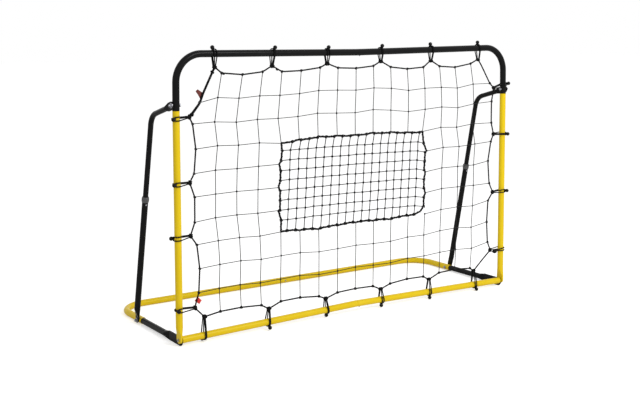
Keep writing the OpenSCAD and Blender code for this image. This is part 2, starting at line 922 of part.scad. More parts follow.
side_tube_left();
side_tube_right();
rear_tube_left();
rear_tube_right();
rear_joint_button();
rear_joint_spring();
foot_bolts();
foot_nuts();
foot_washers();
post_left();
post_right();
top_hoop_left();
top_hoop_right();
bottom_bar_left();
bottom_bar_right();
bar_end_inserts();
corner_bolts();
top_joint_button();
top_joint_spring();
bottom_joint_button();
bottom_joint_spring();
strut_top_bolts();
strut_top_nuts();
strut_top_washers();
strut_upper_left();
strut_upper_right();
strut_lower_left();
strut_lower_right();
lock_collar_left();
lock_collar_right();
collar_rivet_left();
collar_rivet_right();
net_top_band();
net_bottom_band();
net_left_band();
net_right_band();
edge_rope();
target_net();
target_border();
net_tags();
loops_top();
loops_bottom();
loops_left();
loops_right();
balls_top();
balls_bottom();
balls_left();
balls_right();
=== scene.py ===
import bpy
import math
import random
import numpy as np
from mathutils import Matrix, Vector


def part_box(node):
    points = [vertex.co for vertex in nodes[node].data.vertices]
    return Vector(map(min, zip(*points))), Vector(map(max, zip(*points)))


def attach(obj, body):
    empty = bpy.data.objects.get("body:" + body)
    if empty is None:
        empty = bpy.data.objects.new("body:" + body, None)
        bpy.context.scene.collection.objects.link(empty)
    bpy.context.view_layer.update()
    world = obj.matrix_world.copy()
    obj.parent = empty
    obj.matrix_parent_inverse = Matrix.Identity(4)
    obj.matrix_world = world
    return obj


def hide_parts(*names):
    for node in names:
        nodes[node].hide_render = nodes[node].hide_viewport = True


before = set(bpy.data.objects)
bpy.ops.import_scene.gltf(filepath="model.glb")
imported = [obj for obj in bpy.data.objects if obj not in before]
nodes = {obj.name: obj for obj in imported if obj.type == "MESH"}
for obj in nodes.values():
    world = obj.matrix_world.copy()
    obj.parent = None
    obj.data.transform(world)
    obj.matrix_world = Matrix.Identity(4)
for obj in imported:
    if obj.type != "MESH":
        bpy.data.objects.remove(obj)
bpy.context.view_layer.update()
print("frame loaded:", len(nodes), "nodes")


# The camera stands at the front left, a little above the top bar
camera = dict(
    place=(-2.7548, -4.1549, 1.3413),
    yaw=0.5879,        # from +Y towards +X
    dip=0.0966,        # below the horizon
    roll=-0.0022,
    focal=1038.9,      # in widths of one pixel of a 640 wide image
    imageWidth=640,
    sensor=36.0,
    shift=-0.12,
    reach=200,
)


def makeCamera(c):
    ahead = Vector((math.sin(c["yaw"]) * math.cos(c["dip"]),
                    math.cos(c["yaw"]) * math.cos(c["dip"]), -math.sin(c["dip"])))
    level = Vector((math.cos(c["yaw"]), -math.sin(c["yaw"]), 0))
    plumb = level.cross(ahead)
    right = level * math.cos(c["roll"]) + plumb * math.sin(c["roll"])
    up = plumb * math.cos(c["roll"]) - level * math.sin(c["roll"])
    lens = bpy.data.cameras.new("camera")
    lens.sensor_width = c["sensor"]
    lens.lens = c["focal"] * c["sensor"] / c["imageWidth"]
    lens.shift_y = c["shift"]
    lens.clip_end = c["reach"]
    holder = bpy.data.objects.new("camera", lens)
    turn = Matrix((right, up, -ahead)).transposed().to_4x4()
    holder.matrix_world = Matrix.Translation(c["place"]) @ turn
    bpy.context.collection.objects.link(holder)
    bpy.context.scene.camera = holder


makeCamera(camera)


def newGroup(name, inputs, outputs):
    group = bpy.data.node_groups.new(name, "ShaderNodeTree")
    for label, value in inputs:
        socket = group.interface.new_socket(label, in_out="INPUT", socket_type="NodeSocketFloat")
        socket.default_value = value
    for label in outputs:
        group.interface.new_socket(label, in_out="OUTPUT", socket_type="NodeSocketFloat")
    given = group.nodes.new("NodeGroupInput").outputs
    out = group.nodes.new("NodeGroupOutput").inputs
    return group, given, out


def addNode(tree, kind, **settings):
    node = tree.nodes.new(kind)
    for key, value in settings.items():
        setattr(node, key, value)
    return node


def feed(tree, socket, value):
    if isinstance(value, bpy.types.NodeSocket):
        tree.links.new(value, socket)
    else:
        socket.default_value = value


def calc(tree, operation, *values):
    node = addNode(tree, "ShaderNodeMath", operation=operation)
    for socket, value in zip(node.inputs, values):
        feed(tree, socket, value)
    return node.outputs[0]


def mixColour(tree, amount, first, second):
    node = addNode(tree, "ShaderNodeMix", data_type="RGBA")
    feed(tree, node.inputs[0], amount)
    feed(tree, node.inputs[6], first)
    feed(tree, node.inputs[7], second)
    return node.outputs[2]


def noiseAt(tree, scale, detail=3.0, roughness=0.5):
    noise = addNode(tree, "ShaderNodeTexNoise")
    feed(tree, noise.inputs["Scale"], scale)
    noise.inputs["Detail"].default_value = detail
    noise.inputs["Roughness"].default_value = roughness
    place = addNode(tree, "ShaderNodeTexCoord")
    tree.links.new(place.outputs["Object"], noise.inputs["Vector"])
    return noise.outputs[0]


def between(tree, value, low, high):
    node = addNode(tree, "ShaderNodeMapRange", interpolation_type="SMOOTHSTEP")
    feed(tree, node.inputs["Value"], value)
    feed(tree, node.inputs["From Min"], low)
    feed(tree, node.inputs["From Max"], high)
    return node.outputs[0]


def spread(tree, value, low, high):
    node = addNode(tree, "ShaderNodeMapRange")
    feed(tree, node.inputs["Value"], value)
    feed(tree, node.inputs["To Min"], low)
    feed(tree, node.inputs["To Max"], high)
    return node.outputs[0]


surface = dict(
    pebbleDetail=2.0,
    rubDetail=6.0,
    rubRoughness=0.65,
    rubRange=(0.5, 0.72),
    shadeScale=3.5,
    # Ranges over which a cord's grooves take their painted shade
    twistGrooveShade=(0.35, 0.0),
    braidGrooveShade=(0.75, 0.3),
    twistFuzz=900.0,
    braidFuzz=700.0,
    fuzzDetail=2.0,
)


def makeCoatGroup():
    group, given, out = newGroup(
        "coatSkin",
        [("Pebble Scale", 420.0), ("Rub Scale", 9.0), ("Rub Amount", 0.3)],
        ["Height", "Rub", "Shade"])
    patches = noiseAt(group, given["Rub Scale"], surface["rubDetail"], surface["rubRoughness"])
    rub = between(group, patches, *surface["rubRange"])
    feed(group, out["Height"], noiseAt(group, given["Pebble Scale"], surface["pebbleDetail"]))
    feed(group, out["Rub"], calc(group, "MULTIPLY", rub, given["Rub Amount"]))
    feed(group, out["Shade"], noiseAt(group, surface["shadeScale"], surface["pebbleDetail"]))
    return group


# Lines run along a cord's own map: u goes once round it, v along it in metres
def cordMap(tree):
    place = addNode(tree, "ShaderNodeUVMap", uv_map="lay")
    split = addNode(tree, "ShaderNodeSeparateXYZ")
    tree.links.new(place.outputs[0], split.inputs[0])
    return split.outputs["X"], split.outputs["Y"]


def layWave(tree, plies, pitch, hand):
    around, along = cordMap(tree)
    turns = calc(tree, "DIVIDE", along, pitch)
    phase = calc(tree, "MULTIPLY_ADD", around, plies, calc(tree, "MULTIPLY", turns, hand))
    ridge = calc(tree, "SINE", calc(tree, "MULTIPLY", phase, math.tau))
    return calc(tree, "MULTIPLY_ADD", ridge, 0.5, 0.5)


def makeTwistGroup():
    group, given, out = newGroup(
        "twistedLay", [("Plies", 3.0), ("Pitch", 0.004)], ["Height", "Groove Shade", "Fuzz"])
    wave = layWave(group, given["Plies"], given["Pitch"], 1.0)
    feed(group, out["Height"], wave)
    feed(group, out["Groove Shade"], between(group, wave, *surface["twistGrooveShade"]))
    feed(group, out["Fuzz"], noiseAt(group, surface["twistFuzz"], surface["fuzzDetail"]))
    return group


def makeBraidGroup():
    group, given, out = newGroup(
        "braidedSheath", [("Carriers", 6.0), ("Pitch", 0.0035)], ["Height", "Groove Shade", "Fuzz"])
    right = layWave(group, given["Carriers"], given["Pitch"], 1.0)
    left = layWave(group, given["Carriers"], given["Pitch"], -1.0)
    weave = calc(group, "MAXIMUM", right, left)
    feed(group, out["Height"], weave)
    feed(group, out["Groove Shade"], between(group, weave, *surface["braidGrooveShade"]))
    feed(group, out["Fuzz"], noiseAt(group, surface["braidFuzz"], surface["fuzzDetail"]))
    return group


coatSkin = makeCoatGroup()
twistedLay = makeTwistGroup()
braidedSheath = makeBraidGroup()


def newMaterial(name):
    material = bpy.data.materials.new(name)
    material.use_nodes = True
    return material, material.node_tree, material.node_tree.nodes["Principled BSDF"]


def useGroup(tree, group, **values):
    node = addNode(tree, "ShaderNodeGroup", node_tree=group)
    for key, value in values.items():
        node.inputs[key.replace("_", " ")].default_value = value
    return node.outputs


def bumpInto(tree, shader, height, strength, distance):
    bump = addNode(tree, "ShaderNodeBump")
    bump.inputs["Strength"].default_value = strength
    bump.inputs["Distance"].default_value = distance
    feed(tree, bump.inputs["Height"], height)
    tree.links.new(bump.outputs[0], shader.inputs["Normal"])


# Two tones mixed by a slow cloud, with rubbed spots on top
paint = dict(pebbleScale=420.0, rubScale=9.0, rubAmount=0.45, metal=0.0, bump=0.12, grain=0.0004)
coats = dict(
    yellowPaint=dict(paint, main=(0.860, 0.615, 0.010, 1), deep=(0.810, 0.560, 0.007, 1),
                     rubbed=(0.890, 0.660, 0.036, 1), gloss=0.3, scuffed=0.45, mirror=0.16),
    blackPaint=dict(paint, main=(0.0095, 0.0095, 0.0098, 1), deep=(0.0078, 0.0078, 0.0080, 1),
                    rubbed=(0.016, 0.016, 0.0163, 1), gloss=0.20, scuffed=0.4, mirror=0.075),
    zincPlate=dict(main=(0.40, 0.40, 0.43, 1), rubbed=(0.26, 0.26, 0.26, 1), pebbleScale=1500.0,
                   rubScale=60.0, rubAmount=0.6, gloss=0.26, scuffed=0.5, mirror=0.5, metal=1.0,
                   bump=0.1, grain=0.0002),
    collarPlastic=dict(main=(0.085, 0.085, 0.088, 1), rubbed=(0.13, 0.13, 0.13, 1),
                       pebbleScale=900.0, rubScale=40.0, rubAmount=0.5, gloss=0.42, scuffed=0.6,
                       mirror=0.5, metal=0.0, bump=0.25, grain=0.0003),
    ballPlastic=dict(main=(0.005, 0.005, 0.0055, 1), rubbed=(0.016, 0.016, 0.017, 1),
                     pebbleScale=1100.0, rubScale=80.0, rubAmount=0.5, gloss=0.3, scuffed=0.5,
                     mirror=0.15, metal=0.0, bump=0.12, grain=0.0002),
)
# Each cord's groove colour is painted shade in the grooves between its plies or carriers
cordLooks = dict(
    netTwine=dict(group=twistedLay, lay=dict(Plies=3.0, Pitch=0.0065),
                  main=(0.022, 0.022, 0.023, 1), grooveShade=(0.005, 0.005, 0.005, 1),
                  fuzz=(0.06, 0.06, 0.062, 1), roughness=0.7, depth=0.0005),
    panelTwine=dict(group=twistedLay, lay=dict(Plies=3.0, Pitch=0.0065),
                    main=(0.012, 0.012, 0.013, 1), grooveShade=(0.003, 0.003, 0.003, 1),
                    fuzz=(0.035, 0.035, 0.036, 1), roughness=0.7, depth=0.0005),
    ropeSheath=dict(group=twistedLay, lay=dict(Plies=12.0, Pitch=0.004),
                    main=(0.005, 0.005, 0.0055, 1), grooveShade=(0.002, 0.002, 0.002, 1),
                    fuzz=(0.018, 0.018, 0.019, 1), roughness=0.6, depth=0.0006),
    elasticSheath=dict(group=braidedSheath, lay=dict(Carriers=5.0, Pitch=0.003),
                       main=(0.005, 0.005, 0.0055, 1), grooveShade=(0.002, 0.002, 0.002, 1),
                       fuzz=(0.016, 0.016, 0.0165, 1), roughness=0.55, depth=0.0003),
)
cordSurface = dict(fuzzShare=0.6, mirror=0.06, bump=0.7)
cloth = dict(
    full=(0.80, 0.034, 0.024),
    worn=(0.62, 0.024, 0.018),
    # The weave's gaps take painted shade, darker than the cloth
    gapShade=(0.42, 0.012, 0.012),
    thread=0.0009,
    gaps=(0.3, 0.0),
    patchScale=60.0,
    patchDetail=3.0,
    roughness=0.85,
    sheen=0.3,
    bump=0.5,
    grain=0.0002,
    # The second copy is the red cloth darkened as painted shade, for the upper tag
    shades=dict(redCloth=1.0, deepRedCloth=0.22),
)


def coatMaterial(name, look):
    material, tree, shader = newMaterial(name)
    skin = useGroup(tree, coatSkin, Pebble_Scale=look["pebbleScale"],
                    Rub_Scale=look["rubScale"], Rub_Amount=look["rubAmount"])
    main = look["main"]
    if "deep" in look:
        main = mixColour(tree, skin["Shade"], look["deep"], main)
    feed(tree, shader.inputs["Base Color"], mixColour(tree, skin["Rub"], main, look["rubbed"]))
    feed(tree, shader.inputs["Roughness"],
         spread(tree, skin["Rub"], look["gloss"], look["scuffed"]))
    shader.inputs["Metallic"].default_value = look["metal"]
    shader.inputs["Specular IOR Level"].default_value = look["mirror"]
    bumpInto(tree, shader, skin["Height"], look["bump"], look["grain"])
    return material


def cordMaterial(name, look):
    material, tree, shader = newMaterial(name)
    lay = useGroup(tree, look["group"], **look["lay"])
    hairy = calc(tree, "MULTIPLY", lay["Fuzz"], cordSurface["fuzzShare"])
    worn = mixColour(tree, hairy, look["main"], look["fuzz"])
    # Painted shade: the grooves between plies take the darker colour
    feed(tree, shader.inputs["Base Color"], mixColour(tree, lay["Groove Shade"], worn, look["grooveShade"]))
    shader.inputs["Roughness"].default_value = look["roughness"]
    shader.inputs["Specular IOR Level"].default_value = cordSurface["mirror"]
    bumpInto(tree, shader, lay["Height"], cordSurface["bump"], look["depth"])
    return material


def threadWave(tree, run):
    return calc(tree, "SINE", calc(tree, "MULTIPLY", run, math.tau / cloth["thread"]))


def clothMaterial(name, shade):
    # Only the red falls with the painted shade, so that the cloth stays red
    full, worn, gapShade = [(red * shade, green, blue, 1)
                        for red, green, blue in (cloth["full"], cloth["worn"], cloth["gapShade"])]
    material, tree, shader = newMaterial(name)
    around, along = cordMap(tree)
    crossed = calc(tree, "MULTIPLY", threadWave(tree, around), threadWave(tree, along))
    weave = calc(tree, "MULTIPLY_ADD", crossed, 0.5, 0.5)
    tinted = mixColour(tree, noiseAt(tree, cloth["patchScale"], cloth["patchDetail"]), worn, full)
    # Painted shade darkens the gaps between the threads
    feed(tree, shader.inputs["Base Color"],
         mixColour(tree, between(tree, weave, *cloth["gaps"]), tinted, gapShade))
    shader.inputs["Roughness"].default_value = cloth["roughness"]
    shader.inputs["Sheen Weight"].default_value = cloth["sheen"]
    bumpInto(tree, shader, weave, cloth["bump"], cloth["grain"])
    return material


materials = {name: coatMaterial(name, look) for name, look in coats.items()}
materials.update({name: cordMaterial(name, look) for name, look in cordLooks.items()})
materials.update({name: clothMaterial(name, shade) for name, shade in cloth["shades"].items()})

finishes = dict(
    yellowPaint=["post_left", "post_right", "bottom_bar_left", "bottom_bar_right",
                 "rear_tube_left", "rear_tube_right"],
    blackPaint=["top_hoop_left", "top_hoop_right", "side_tube_left", "side_tube_right",
                "strut_upper_left", "strut_upper_right", "strut_lower_left",
                "strut_lower_right"],
    zincPlate=["rear_joint_button", "rear_joint_spring", "foot_bolts", "foot_nuts",
               "foot_washers", "bar_end_inserts", "corner_bolts", "top_joint_button",
               "top_joint_spring", "bottom_joint_button", "bottom_joint_spring",
               "strut_top_bolts", "strut_top_nuts", "strut_top_washers",
               "collar_rivet_left", "collar_rivet_right"],
    collarPlastic=["lock_collar_left", "lock_collar_right"],
)
for finish, names in finishes.items():
    for name in names:
        nodes[name].data.materials.clear()
        nodes[name].data.materials.append(materials[finish])
print("finishes on the frame's own pieces")


class PieceMesh:
    # Gathers swept cords, turned shapes and sheets, each with its own map, into one mesh

    def __init__(self):
        self.points = []
        self.faces = []
        self.maps = []
        self.count = 0

    def addGrid(self, grid, cordMaps, wrapped, closed=False):
        rings, sides = grid.shape[:2]
        self.points.append(grid.reshape(-1, 3))
        lastRing = rings if closed else rings - 1
        lastSide = sides if wrapped else sides - 1
        for i in range(lastRing):
            nextRing = (i + 1) % rings
            for j in range(lastSide):
                nextSide = (j + 1) % sides
                a, b = i * sides + j, i * sides + nextSide
                c, d = nextRing * sides + nextSide, nextRing * sides + j
                self.faces.append([self.count + k for k in (a, b, c, d)])
                self.maps.append([(cordMaps[0][j], cordMaps[1][i]),
                                  (cordMaps[0][j + 1], cordMaps[1][i]),
                                  (cordMaps[0][j + 1], cordMaps[1][i + 1]),
                                  (cordMaps[0][j], cordMaps[1][i + 1])])
        start = self.count
        self.count += rings * sides
        return start

    def addCap(self, start, sides, flip):
        order = [start + j for j in range(sides)]
        self.faces.append(order if flip else order[::-1])
        self.maps.append([(0.5, 0.0)] * sides)

    # lobes > 0 gives a laid rope: that many strands, turning once in every pitch metres
    def addTube(self, path, radius, sides=6, closed=False, lobes=0, pitch=0.02, depth=0.1):
        path = np.asarray(path, float)
        count = len(path)
        step = np.linalg.norm(np.roll(path, -1, 0) - path, axis=1)
        along = np.concatenate(([0.0], np.cumsum(step)))
        if closed:
            ahead = np.roll(path, -1, 0) - np.roll(path, 1, 0)
        else:
            ahead = np.gradient(path, axis=0)
        ahead /= np.linalg.norm(ahead, axis=1)[:, None]
        normal = np.zeros_like(path)
        startsForward = abs(ahead[0][1]) > 0.9
        guide = np.array((0.0, 0.0, 1.0)) if startsForward else np.array((0.0, -1.0, 0.0))
        for i in range(count):
            guide = guide - ahead[i] * guide.dot(ahead[i])
            guide /= np.linalg.norm(guide)
            normal[i] = guide
        across = np.cross(ahead, normal)
        if closed:
            along = along * (round(along[-1] / pitch) * pitch / along[-1])
        angle = np.arange(sides) * math.tau / sides
        turn = angle[None, :] - (along[:count, None] * math.tau / pitch if lobes else 0.0)
        swell = 1 - depth + depth * np.cos(lobes * turn) if lobes else np.ones((count, sides))
        offset = radius * swell
        grid = (path[:, None, :] + normal[:, None, :] * (np.cos(angle) * offset)[:, :, None]
                + across[:, None, :] * (np.sin(angle) * offset)[:, :, None])
        start = self.addGrid(grid, (np.arange(sides + 1) / sides, along), True, closed)
        if not closed:
            self.addCap(start, sides, True)
            self.addCap(start + (count - 1) * sides, sides, False)

    # profile is a list of (radius, height) about the shape's own Z, which place puts in the scene
    def addTurned(self, profile, place, sides=20):
        angle = np.arange(sides) * math.tau / sides
        rings = np.array([[(r * math.cos(a), r * math.sin(a), h) for a in angle]
                          for r, h in profile])
        grid = np.array([[place @ Vector(p) for p in ring] for ring in rings])
        heights = np.array([h for r, h in profile] + [profile[-1][1]])
        start = self.addGrid(grid, (np.arange(sides + 1) / sides, heights), True)
        self.addCap(start, sides, True)
        self.addCap(start + (len(profile) - 1) * sides, sides, False)

    def build(self, name, material, slot, body, replaced):
        mesh = bpy.data.meshes.new(name)
        mesh.from_pydata(np.concatenate(self.points).tolist(), [], self.faces)
        layer = mesh.uv_layers.new(name="lay")
        layer.data.foreach_set("uv", np.array([uv for face in self.maps for uv in face]).ravel())
        mesh.shade_smooth()
        mesh.materials.append(material)
        mesh.validate()
        piece = bpy.data.objects.new(name, mesh)
        bpy.context.collection.objects.link(piece)
        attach(piece, body)
        if replaced:
            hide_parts(*replaced)
        return piece


def rounded(route, radius, spacing, closed=False, perBend=4):
    # Straight runs between the route's points, with a small bend at each
    mostOfRun = 0.45
    route = [np.asarray(p, float) for p in route]
    count = len(route)
    out = []
    for i in range(count):
        here = route[i]
        if not closed and i in (0, count - 1):
            out.append(here)
            continue
        before, after = route[i - 1], route[(i + 1) % count]
        back, on = before - here, after - here
        reach = min(radius, mostOfRun * np.linalg.norm(back), mostOfRun * np.linalg.norm(on))
        start = here + back / np.linalg.norm(back) * reach
        end = here + on / np.linalg.norm(on) * reach
        for step in range(perBend + 1):
            t = step / perBend
            out.append(start * (1 - t) ** 2 + here * 2 * t * (1 - t) + end * t * t)
    filled = []
    pairs = zip(out, out[1:] + out[:1]) if closed else zip(out, out[1:])
    for a, b in pairs:
        parts = max(1, int(math.ceil(np.linalg.norm(b - a) / spacing)))
        filled += [a + (b - a) * k / parts for k in range(parts)]
    if not closed:
        filled.append(out[-1])
    return filled


def middleOf(name):
    low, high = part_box(name)
    return (low + high) / 2


netY = middleOf("edge_rope").y
pivotZ = middleOf("corner_bolts").z

# Rows count up from the bottom rope (0) to the top rope (10), strands from the middle (-7 to 7)
net = dict(
    strands=7,
    topRow=10,
    rowHeight=[0.089, 0.189, 0.292, 0.395, 0.497, 0.599, 0.700, 0.802, 0.903, 1.004, 1.105],
    rowPitch=[0.1008, 0.1016, 0.1012, 0.1020, 0.1032, 0.1031, 0.1035, 0.1015, 0.1028, 0.1013,
              0.0985],
    rowShift=[-0.006, -0.005, -0.004, -0.004, -0.007, -0.007, -0.002, -0.007, -0.008, -0.004,
              -0.003],
    topPull=[0, -0.008, -0.001, -0.003, 0, 0.010, 0.007, 0.003, 0.011, 0.004, -0.008, -0.002,
             -0.001, -0.009, 0.006],
    bottomPull=[0.004, 0.006, -0.001, 0.001, 0.003, -0.006, -0.005, 0, -0.005, -0.006, 0.003, 0,
                0.006, 0.007, 0],
    rightLift=0.011,
    fadeRows=3,            # rows over which a rope's pull on the net dies out
    liftRows=4,
    leftEnds=[(-0.813, 0.188), (-0.807, 0.290), (-0.819, 0.393), (-0.827, 0.489), (-0.826, 0.595),
              (-0.827, 0.693), (-0.818, 0.795), (-0.831, 0.900), (-0.798, 0.986)],
    rightEnds=[(0.814, 0.208), (0.807, 0.312), (0.814, 0.421), (0.820, 0.508), (0.810, 0.622),
               (0.828, 0.719), (0.829, 0.813), (0.829, 0.920), (0.816, 1.011)],
    cordRadius=0.0017,
    knotRadius=0.0037,
    bend=0.004,
    bed=0.8,               # how far a hitch stands off its rope, in cord radii
    step=0.02,
    jitter=0.0012,
    targetStrands=4,
    # How far the panel's border drags a crossing (row, strand) sideways and up
    drag={(7, -4): (0.010, -0.008), (7, 4): (-0.012, -0.006), (3, -4): (0.004, 0.004),
          (3, -1): (0, 0.004), (3, 0): (0, 0.004), (3, 1): (0, 0.004)},
    targetLow=3,
    targetHigh=7,
)
fine = dict(
    columns=18,
    rows=9,
    mesh=0.0447,
    rowMesh=0.0438,
    left=-0.400,
    lean=-0.0024,          # each row down starts this much further left
    topLean=0.009,
    bottomLean=-0.005,
    lift=0.0012,
    droop=0.012,           # of a row's right end
    pullUp=0.0035,         # how far a tie pulls the border into the panel
    pullIn=0.0085,
    endDroop=0.008,
    tuck=[(0.392, 0.431), (0.381, 0.413), (0.362, 0.406)],   # of the lower right corner
    cordRadius=0.0020,
    knotRadius=0.0046,
    bend=0.003,
    bed=0.6,
)
rope = dict(
    radius=0.0037,
    borderRadius=0.0047,
    windRadius=0.0013,     # of the cord wound round the border rope
    windPitch=0.024,
    windStep=0.0016,
    strands=3,
    pitch=0.026,
    bend=0.012,
    step=0.003,
    sides=12,
    topKnots=[(-0.727, 1.133), (-0.448, 1.130), (-0.162, 1.133), (0.136, 1.137), (0.434, 1.134),
              (0.735, 1.133)],
    bottomKnots=[(-0.788, 0.081), (-0.472, 0.066), (-0.172, 0.066), (0.140, 0.064), (0.433, 0.069),
                 (0.722, 0.072)],
    leftKnots=[(-0.833, 0.127), (-0.848, 0.434), (-0.848, 0.657), (-0.847, 0.930)],
    rightKnots=[(0.834, 0.165), (0.845, 0.461), (0.845, 0.755), (0.843, 0.987)],
    corners=dict(bottomRight=(0.782, 0.123), topRight=(0.760, 1.099), topLeft=(-0.782, 1.026)),
    overlap=[(-0.845, 0.928), (-0.798, 0.986), (-0.782, 1.026), (-0.727, 1.133), (-0.692, 1.104),
             (-0.683, 1.103)],
    # The second end beside the first, and the whippings round both
    beside=(0.0045, 0.0030, -0.0028),
    secondRadius=0.96,     # in rope radii
    whipShare=0.2,         # of the way to the next point
    whipMiddle=(0.0023, 0.0015, -0.0014),
    whipRadius=2.1,        # in rope radii
    lump=(-0.423, 1.113),
    lumpSize=1.3,          # in rope radii
    lumpCord=0.45,
    lumpTurn=0.4,
)
knots = dict(
    steps=22,
    flat=0.8,              # of a knot's depth that is left when it is drawn tight
    thin=0.9,              # of the cord's radius inside a knot
    sides=5,
    hitchTurns=2.2,
    hitchPitch=2.1,        # in cord radii
)
dice = random.Random(7)


def netPoint(x, height):
    return np.array((x, netY, pivotZ + height))


def strandX(row, strand):
    return net["rowShift"][row] + strand * net["rowPitch"][row]


def strandHeight(row, strand):
    middle = net["topRow"] / 2
    fromTop = min(1, max(0, (row - middle) / net["fadeRows"]))
    fromBottom = min(1, max(0, (middle - row) / net["fadeRows"]))
    beyond = strand > net["targetStrands"]
    lift = max(0, 1 - ((row - middle) / net["liftRows"]) ** 2) if beyond else 0
    place = strand + net["strands"]
    return (net["rowHeight"][row] + net["topPull"][place] * fromTop
            + net["bottomPull"][place] * fromBottom + net["rightLift"] * lift)


allStrands = range(-net["strands"], net["strands"] + 1)
crossings = {}
for row in range(net["topRow"] + 1):
    for strand in allStrands:
        crossings[row, strand] = netPoint(
            strandX(row, strand) + dice.uniform(-1, 1) * net["jitter"],
            strandHeight(row, strand) + dice.uniform(-1, 1) * net["jitter"])
for place, (aside, up) in net["drag"].items():
    crossings[place] = crossings[place] + np.array((aside, 0, up))
leftEnd = {row + 1: netPoint(*p) for row, p in enumerate(net["leftEnds"])}
rightEnd = {row + 1: netPoint(*p) for row, p in enumerate(net["rightEnds"])}


def inOrder(points, axis, backwards=False):
    return sorted(points, key=lambda p: p[axis], reverse=backwards)


def edgeRoute():
    corner = {name: netPoint(*p) for name, p in rope["corners"].items()}
    bottom = [netPoint(*p) for p in rope["bottomKnots"]] + [crossings[0, s] for s in allStrands]
    top = [netPoint(*p) for p in rope["topKnots"]]
    top += [crossings[net["topRow"], s] for s in allStrands]
    right = [netPoint(*p) for p in rope["rightKnots"]] + list(rightEnd.values())
    left = [netPoint(*p) for p in rope["leftKnots"]] + list(leftEnd.values())
    return (inOrder(bottom, 0) + [corner["bottomRight"]] + inOrder(right, 2) + [corner["topRight"]]
            + inOrder(top, 0, True) + [corner["topLeft"]] + inOrder(left, 2, True))


def fineX(column, row):
    return fine["left"] + fine["mesh"] * column + fine["lean"] * (row - 1)


def fineHeight(column, row):
    across = column / fine["columns"]
    return (net["rowHeight"][net["targetHigh"]] + fine["lift"] - fine["rowMesh"] * row
            - fine["droop"] * across ** 2)


def blendAt(points, axis, value):
    # The point on a row of crossings at this x or height
    points = inOrder(points, axis)
    along = [p[axis] for p in points]
    return np.array([np.interp(value, along, [p[k] for p in points]) for k in range(3)])


low, high, side = net["targetLow"], net["targetHigh"], net["targetStrands"]
topLine = [crossings[high, s] for s in range(-side, side + 1)]
bottomLine = [crossings[low, s] for s in range(-side, side + 1)]
leftLine = [crossings[r, -side] for r in range(low, high + 1)]
rightLine = [crossings[r, side] for r in range(low, high + 1)]
columns, rows = range(1, fine["columns"]), range(1, fine["rows"])
tug = np.array((0, 0, fine["pullUp"]))
inward = np.array((fine["pullIn"], 0, 0))
topTies = {c: blendAt(topLine, 0, fineX(c, 1) + fine["topLean"]) - tug for c in columns}
bottomTies = {c: blendAt(bottomLine, 0, fineX(c, rows[-1]) + fine["bottomLean"]) + tug
              for c in columns}
leftTies = {r: blendAt(leftLine, 2, pivotZ + fineHeight(0, r)) + inward for r in rows}
rightTies = {
    r: blendAt(rightLine, 2, pivotZ + fineHeight(fine["columns"], r) - fine["endDroop"]) - inward
    for r in rows}
fineCrossings = {(c, r): netPoint(fineX(c, r) + dice.uniform(-1, 1) * net["jitter"],
                                  fineHeight(c, r) + dice.uniform(-1, 1) * net["jitter"])
                 for c in columns for r in rows}
cornerTuck = [netPoint(*p) for p in fine["tuck"]]


def borderRoute():
    bottom = inOrder(bottomLine[:-1] + list(bottomTies.values()), 0)
    right = inOrder(rightLine[1:-1] + list(rightTies.values()), 2)
    top = inOrder(topLine + list(topTies.values()), 0, True)
    left = inOrder(leftLine[1:-1] + list(leftTies.values()), 2, True)
    bottom = [p for p in bottom if p[0] < cornerTuck[2][0]]
    right = [p for p in right if p[2] > cornerTuck[0][2]]
    return bottom + cornerTuck[::-1] + right + top + left


def strandRoutes():
    routes = []
    for s in allStrands:
        whole = [crossings[r, s] for r in range(net["topRow"] + 1)]
        if abs(s) <= side:
            routes += [whole[:low + 1], whole[high:]]
        else:
            routes.append(whole)
    for r in range(1, net["topRow"]):
        leftPart = [leftEnd[r]] + [crossings[r, s] for s in range(-net["strands"], -side + 1)]
        rightPart = [crossings[r, s] for s in range(side, net["strands"] + 1)] + [rightEnd[r]]
        if low <= r <= high:
            routes += [leftPart, rightPart]
        else:
            middle = [crossings[r, s] for s in range(-side + 1, side)]
            routes.append(leftPart + middle + rightPart)
    return routes


def fineRoutes():
    routes = [[topTies[c]] + [fineCrossings[c, r] for r in rows] + [bottomTies[c]] for c in columns]
    routes += [[leftTies[r]] + [fineCrossings[c, r] for c in columns] + [rightTies[r]]
               for r in rows]
    return routes


def knotPath(place, size, turn):
    # An overhand knot drawn tight, as a trefoil laid nearly flat in the net
    path = []
    for k in range(knots["steps"]):
        t = k * math.tau / knots["steps"]
        x = math.sin(t) + 2 * math.sin(2 * t)
        y = -math.sin(3 * t) * knots["flat"]
        z = math.cos(t) - 2 * math.cos(2 * t)
        turned = np.array((x * math.cos(turn) - z * math.sin(turn), y,
                           x * math.sin(turn) + z * math.cos(turn)))
        path.append(place + turned * size / 3)
    return path


def hitchPath(place, ahead, holdRadius, cordRadius):
    # Two turns of cord round the rope where a strand ends
    turns = knots["hitchTurns"]
    ahead = ahead / np.linalg.norm(ahead)
    front = np.array((0.0, -1.0, 0.0))
    across = np.cross(ahead, front)
    path = []
    for k in range(knots["steps"] + 1):
        t = k / knots["steps"]
        angle = t * turns * math.tau
        drift = ahead * (t - 0.5) * turns * cordRadius * knots["hitchPitch"]
        ring = front * math.cos(angle) + across * math.sin(angle)
        path.append(place + drift + ring * holdRadius)
    return path


